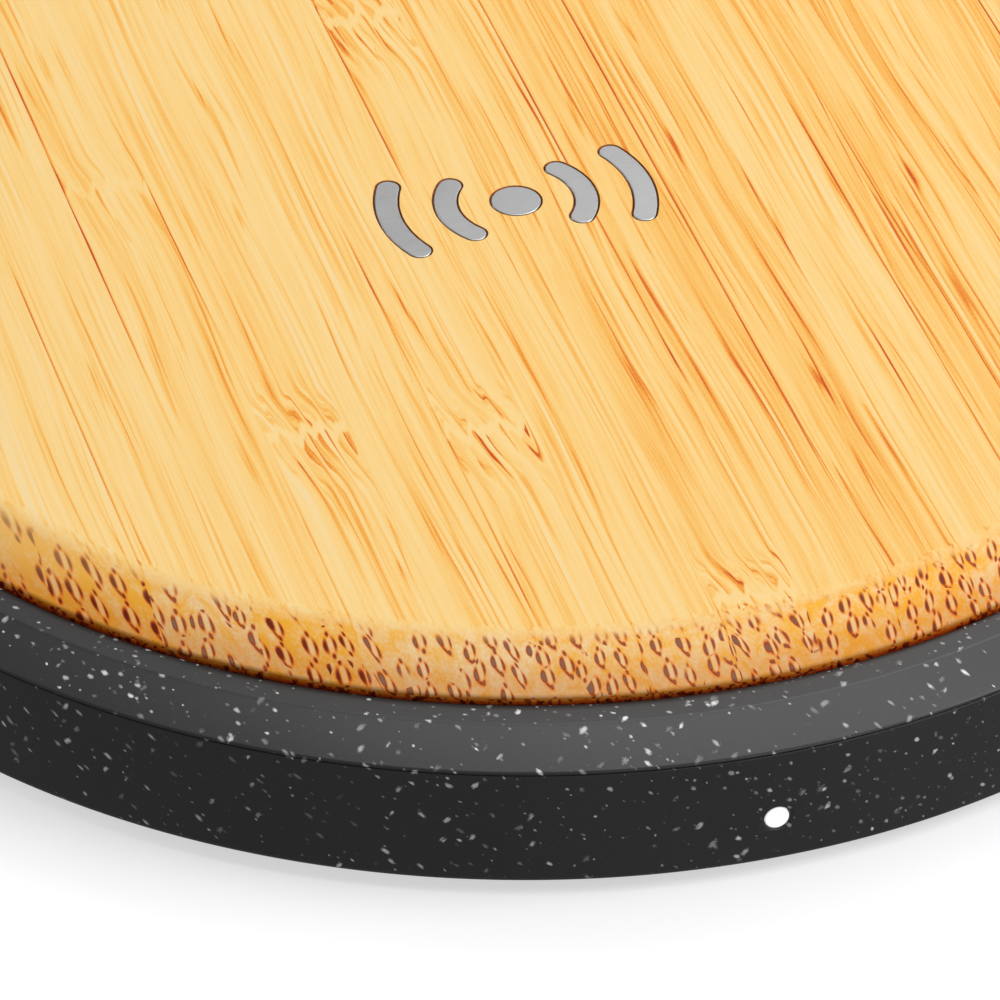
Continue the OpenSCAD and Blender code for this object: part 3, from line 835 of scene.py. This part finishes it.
def shell_section(light_z):
    """The shell's closed section, from the lip inside its foot out, up the wall, and over to the recess."""
    angle = math.atan2(SHOULDER_DROP, SHOULDER_W)
    slope = math.degrees(angle)
    corner_z = RING_Z - SHOULDER_DROP
    tangent = SHOULDER_R * math.tan(math.radians(45) - angle / 2)
    crest_tangent = CREST_R * math.tan(angle / 2)
    crest_x = PAD_R - SHOULDER_W - crest_tangent
    recess_r = BAMBOO_R + REVEAL_GAP
    lip_edge = 0.12 * MM
    deck_top = BAMBOO_Z - FILM_T
    deck_low = deck_top - DECK_T
    section = [(LIP_R, SHELL_FOOT_Z + lip_edge)]
    section += arc(LIP_R + lip_edge, SHELL_FOOT_Z + lip_edge, lip_edge, 180, 270, 4)[1:]
    section += arc(PAD_R - LOWER_R, SHELL_FOOT_Z + LOWER_R, LOWER_R, -90, 0, 12)
    section += [(PAD_R, light_z + step * MM) for step in WALL_RINGS]
    section += shadow_line(corner_z - tangent)
    edge = arc(PAD_R - SHOULDER_R, corner_z - tangent, SHOULDER_R, 0, 90 - slope, 12)
    crest = arc(crest_x, RING_Z - CREST_R, CREST_R, 90 - slope, 90, 8)
    section += edge + crowned(edge[-1], crest[0], SHOULDER_CROWN) + crest
    section += arc(recess_r + lip_edge, RING_Z - lip_edge, lip_edge, 90, 180, 5)
    section += [(recess_r, deck_top), (WINDOW_R, deck_top), (WINDOW_R, deck_low)]
    section += [(WALL_IN_R, deck_low), (WALL_IN_R, LEDGE_Z), (LIP_R, LEDGE_Z)]
    return section


def bar_sections(outline, levels, z):
    """An XZ outline at each (y, grow) level, centred at height z. outline is a function of grow."""
    return [[(px, y, z + pz) for px, pz in outline(grow)] for y, grow in levels]


def make_shell(plastic):
    """The shell, with the light's hole in front and the stepped slot of the inlet behind."""
    light_lo, light_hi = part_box("light_pipe")
    light_z = (light_lo.z + light_hi.z) / 2
    body = revolve("shell_body", shell_section(light_z), plastic, closed=True)
    hole_r = 0.75 * MM
    hole_edge = 0.06 * MM
    hole_levels = (
        (-WALL_IN_R + MM, 0.0),
        (-PAD_R + hole_edge, 0.0),
        (-PAD_R - hole_edge, 2 * hole_edge),
        (-PAD_R - MM, 2 * hole_edge),
    )
    hole = loft(
        "light_hole",
        bar_sections(lambda grow: circle_outline(hole_r + grow, 64), hole_levels, light_z),
        plastic,
    )
    usb_lo, usb_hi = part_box("usb_shell")
    slot_gap = 0.2 * MM
    slot_w = usb_hi.x - usb_lo.x + 2 * slot_gap
    slot_h = usb_hi.z - usb_lo.z + 2 * slot_gap
    step_w = 0.35 * MM
    step_depth = 0.3 * MM
    slot_levels = (
        (WALL_IN_R - MM, 0.0),
        (PAD_R - step_depth - 0.08 * MM, 0.0),
        (PAD_R - step_depth, 0.08 * MM),
        (PAD_R - step_depth + 0.001 * MM, step_w),
        (PAD_R - 0.12 * MM, step_w),
        (PAD_R + 0.1 * MM, step_w + 0.2 * MM),
        (PAD_R + MM, step_w + 0.2 * MM),
    )
    slot = loft(
        "usb_slot",
        bar_sections(
            lambda grow: stadium_outline(slot_w + 2 * grow, slot_h + 2 * grow),
            slot_levels, (usb_lo.z + usb_hi.z) / 2,
        ),
        plastic,
    )
    carve(body, [hole, slot])
    settle(body, "shell_plastic", "outer_shell")


def make_light(milky):
    """The light pipe: a rod with a soft-edged face and a flange behind the wall."""
    lo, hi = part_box("light_pipe")
    rod_r = 0.7 * MM
    edge = 0.08 * MM
    flange_r = hi.x
    flange_back = -WALL_IN_R + 0.7 * MM
    flange_front = -WALL_IN_R + 0.1 * MM
    levels = (
        (hi.y, rod_r - edge),
        (hi.y - edge, rod_r),
        (flange_back, rod_r),
        (flange_back - 0.0005 * MM, flange_r),
        (flange_front, flange_r),
        (flange_front - 0.0005 * MM, rod_r),
        (lo.y + edge, rod_r),
        (lo.y + edge * 0.3, rod_r - edge * 0.3),
        (lo.y, rod_r - edge),
    )
    centre_z = (lo.z + hi.z) / 2
    sections = bar_sections(lambda r: circle_outline(r, 64), levels, centre_z)
    settle(loft("light_rod", sections, milky), "diffuser", "light_pipe")


def make_usb_can(steel):
    """The drawn steel tube of the inlet: rounded lip, thin wall, closed back."""
    lo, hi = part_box("usb_shell")
    width = hi.x - lo.x
    height = hi.z - lo.z
    wall = 0.3 * MM
    levels = [(lo.y, -0.15 * MM), (lo.y + 0.15 * MM, 0.0)]
    lip = wall / 2
    levels += [(y, grow) for grow, y in arc(-lip, hi.y - lip, lip, 0, 180, 8)]
    levels += [(lo.y + 0.4 * MM, -wall), (lo.y + 0.3 * MM, -wall - 0.1 * MM)]
    sections = bar_sections(
        lambda grow: stadium_outline(width + 2 * grow, height + 2 * grow),
        levels, (lo.z + hi.z) / 2,
    )
    settle(loft("usb_can", sections, steel), "usb_steel", "usb_shell")


def dress_cad_nodes(dress):
    """Gives each CAD node that stays visible its material."""
    for names, material in dress:
        for name in names.split():
            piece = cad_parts[name]
            piece.data.materials.clear()
            piece.data.materials.append(material)


def make_pieces():
    """The outside pieces are built here. The inner ones stay CAD nodes and get their materials."""
    make_bamboo(bamboo_material(), scorched_material())
    make_mark(brushed_material("inlay_satin", grey(170), grey(186), 0.34))
    make_shell(shell_material())
    make_light(diffuser_material())
    usb_steel = brushed_material("usb_nickel", grey(190), grey(212), 0.28, grain=(14.0, 0.6, 14.0))
    make_usb_can(usb_steel)
    film = plain_material("adhesive_film", srgb(214, 208, 190), srgb(226, 221, 205), 0.45)
    screw = brushed_material("zinc_screw", grey(176), grey(205), 0.3, grain=(6.0, 6.0, 2.0))
    litz = litz_material()
    ferrite = plain_material("ferrite_sintered", grey(52), grey(66), 0.6, scale=9.0)
    chip = plain_material("chip_epoxy", grey(32), grey(42), 0.5, scale=8.0)
    ceramic = plain_material("chip_ceramic", srgb(172, 148, 112), srgb(196, 172, 136), 0.55)
    dress_cad_nodes((
        ("top_adhesive coil_adhesive foot_adhesive", film),
        ("base_cover", moulded_material("base_textured", 38, 0.6)),
        ("foot_ring", silicone_material()),
        ("base_screws board_screws", screw),
        ("coil_winding coil_leads", litz),
        ("ferrite_shield filter_inductor", ferrite),
        ("coil_carrier", moulded_material("inner_moulding", 46, 0.55)),
        ("thermistor", plain_material("sensor_epoxy", srgb(34, 58, 48), srgb(48, 76, 62), 0.3)),
        ("main_board", plain_material("board_mask", srgb(16, 92, 58), srgb(24, 110, 68), 0.35, scale=2.0)),
        ("thermal_pad", plain_material("pad_silicone", srgb(140, 152, 176), srgb(156, 168, 190), 0.8)),
        ("controller_ic supply_ic bridge_mosfets", chip),
        ("resonant_capacitors bulk_capacitors chip_passives", ceramic),
        ("crystal", brushed_material("crystal_can", grey(185), grey(210), 0.3)),
        ("status_led", plain_material("lamp_resin", srgb(236, 230, 196), srgb(246, 242, 214), 0.25)),
        ("usb_tongue", moulded_material("usb_moulding", 28, 0.5)),
        ("usb_contacts", brushed_material("contact_gold", srgb(212, 168, 78), srgb(232, 194, 110), 0.28)),
    ))


# ---------------------------------------------------------------- studio

# The photograph's view: azimuth, elevation, roll, distance and aim, on the CAD frame.
VIEW_BACK = Vector((-0.2357, -0.7665, 0.5976)).normalized()
VIEW_ROLL = math.radians(0.62)
VIEW_DISTANCE = 445 * MM
VIEW_AIM = Vector((-8.6 * MM, -25.4 * MM, RING_Z))
SENSOR_W = 36.0
LENS = 282.6

SOFTBOX_DISTANCE = 1.0
SOFTBOXES = (
    ("key", 66, 37, 0.55, 4.8),
    ("high", 64, 64, 0.55, 1.2),
    ("top", 117, 85, 0.55, 1.9),
    ("back", 140, 50, 0.55, 3.15),
    ("left_low", -130, 10, 0.28, 2.55),
    ("front_low", 17, 10, 0.28, 1.05),
)
FILL_STRENGTH = 0.247
FLOOR_HALF = 3.0
FLOOR_GLOW = 0.58
CORNERS = ((-1, -1), (1, -1), (1, 1), (-1, 1))


def make_camera():
    data = bpy.data.cameras.new("camera")
    data.sensor_width = SENSOR_W
    data.lens = LENS
    data.clip_start = 0.01
    data.clip_end = 20
    camera = bpy.data.objects.new("camera", data)
    bpy.context.scene.collection.objects.link(camera)
    turn = (-VIEW_BACK).to_track_quat("-Z", "Y").to_matrix().to_4x4()
    place = Matrix.Translation(VIEW_AIM + VIEW_BACK * VIEW_DISTANCE)
    camera.matrix_world = place @ turn @ Matrix.Rotation(VIEW_ROLL, 4, "Z")
    bpy.context.scene.camera = camera


def make_softbox(name, azimuth, elevation, size, watts):
    """A square soft light that looks at the pad's centre."""
    a = math.radians(azimuth)
    e = math.radians(elevation)
    back = Vector((math.sin(a) * math.cos(e), -math.cos(a) * math.cos(e), math.sin(e)))
    data = bpy.data.lights.new(name, "AREA")
    data.shape = "SQUARE"
    data.size = size
    data.energy = watts
    light = bpy.data.objects.new(name, data)
    bpy.context.scene.collection.objects.link(light)
    light.location = back * SOFTBOX_DISTANCE
    light.rotation_mode = "QUATERNION"
    light.rotation_quaternion = (-back).to_track_quat("-Z", "Y")


def make_floor():
    """A pale floor with a faint glow, as of a light table: it softens the pad's shadow."""
    mesh = bpy.data.meshes.new("floor")
    corners = [(side_x * FLOOR_HALF, side_y * FLOOR_HALF, 0) for side_x, side_y in CORNERS]
    mesh.from_pydata(corners, [], [(0, 1, 2, 3)])
    g = Graph("floor_white", roughness=0.9, specular=0.1)
    x, y = g.place()[:2]
    soft = g.noise(x / 40, y / 40, 0.0, detail=2.0)
    g.colour(g.ramp(soft, [(0.3, grey(187)), (0.7, grey(189))]))
    g.shader.inputs["Emission Color"].default_value = grey(255)
    g.shader.inputs["Emission Strength"].default_value = FLOOR_GLOW
    mesh.materials.append(g.material)
    floor = bpy.data.objects.new("floor", mesh)
    bpy.context.scene.collection.objects.link(floor)
    # The floor sends no light back up to the pad's walls, which face a dark studio.
    floor.visible_diffuse = False
    floor.visible_glossy = False


def make_studio():
    """An even fill, six soft lights and the floor."""
    scene = bpy.context.scene
    scene.view_settings.view_transform = "Standard"
    world = bpy.data.worlds.new("studio")
    world.use_nodes = True
    fill = world.node_tree.nodes["Background"]
    fill.inputs["Color"].default_value = (1, 1, 1, 1)
    fill.inputs["Strength"].default_value = FILL_STRENGTH
    scene.world = world
    for softbox in SOFTBOXES:
        make_softbox(*softbox)
    make_floor()


make_camera()
make_studio()
make_pieces()
